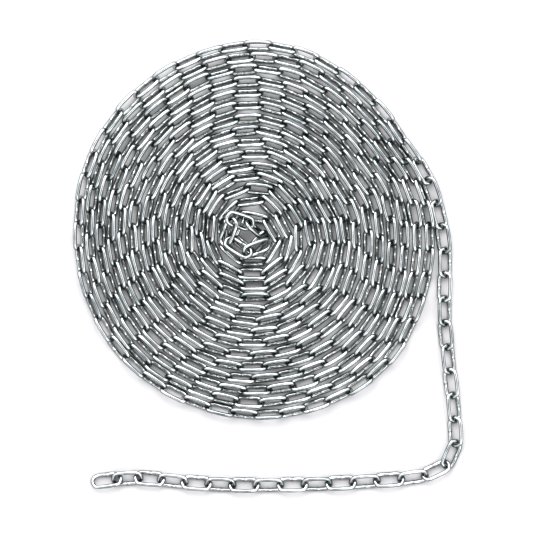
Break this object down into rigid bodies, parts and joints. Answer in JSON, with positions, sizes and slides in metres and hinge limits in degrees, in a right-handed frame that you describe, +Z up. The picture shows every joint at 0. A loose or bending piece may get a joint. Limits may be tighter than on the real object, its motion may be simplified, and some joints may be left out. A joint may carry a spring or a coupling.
{
  "type": "coil of welded steel chain",
  "caption": "Round-wire welded chain of straight links, laid on a floor as a flat spiral coil one link deep, with a few loose links heaped in its middle and a short free tail",
  "frame": {"origin": "centre of the bounding box at the floor that the chain lies on", "axes": "+Z up from the floor; +Y from the free tail's near run towards the far side of the coil; +X to the right, where the tail leaves the coil"},
  "size_m": [0.389, 0.4516, 0.0289],
  "materials": {
    "zinc_plated_steel": "bright zinc plating on drawn round wire, with a small raised weld on every link"
  },
  "bodies": {
    "root": {"end_link": "zinc_plated_steel", "tail_link_02": "zinc_plated_steel", "tail_link_03": "zinc_plated_steel", "tail_link_04": "zinc_plated_steel", "tail_link_05": "zinc_plated_steel", "tail_link_06": "zinc_plated_steel", "tail_link_07": "zinc_plated_steel", "tail_link_08": "zinc_plated_steel", "tail_link_09": "zinc_plated_steel", "tail_link_10": "zinc_plated_steel", "tail_link_11": "zinc_plated_steel", "tail_link_12": "zinc_plated_steel", "tail_link_13": "zinc_plated_steel", "tail_link_14": "zinc_plated_steel", "tail_link_15": "zinc_plated_steel", "tail_link_16": "zinc_plated_steel", "tail_link_17": "zinc_plated_steel", "tail_link_18": "zinc_plated_steel", "tail_link_19": "zinc_plated_steel", "tail_link_20": "zinc_plated_steel", "tail_link_21": "zinc_plated_steel", "tail_link_22": "zinc_plated_steel", "tail_link_23": "zinc_plated_steel", "tail_link_24": "zinc_plated_steel", "tail_link_25": "zinc_plated_steel", "tail_link_26": "zinc_plated_steel", "tail_link_27": "zinc_plated_steel", "turn_01": "zinc_plated_steel", "turn_02": "zinc_plated_steel", "turn_03": "zinc_plated_steel", "turn_04": "zinc_plated_steel", "turn_05": "zinc_plated_steel", "turn_06": "zinc_plated_steel", "turn_07": "zinc_plated_steel", "turn_08": "zinc_plated_steel", "turn_09": "zinc_plated_steel", "turn_10": "zinc_plated_steel", "turn_11": "zinc_plated_steel", "turn_12": "zinc_plated_steel", "turn_13": "zinc_plated_steel", "turn_14": "zinc_plated_steel", "inner_link_1": "zinc_plated_steel", "inner_link_2": "zinc_plated_steel", "inner_link_3": "zinc_plated_steel", "inner_link_4": "zinc_plated_steel", "inner_link_5": "zinc_plated_steel"}
  },
  "joints": []
}
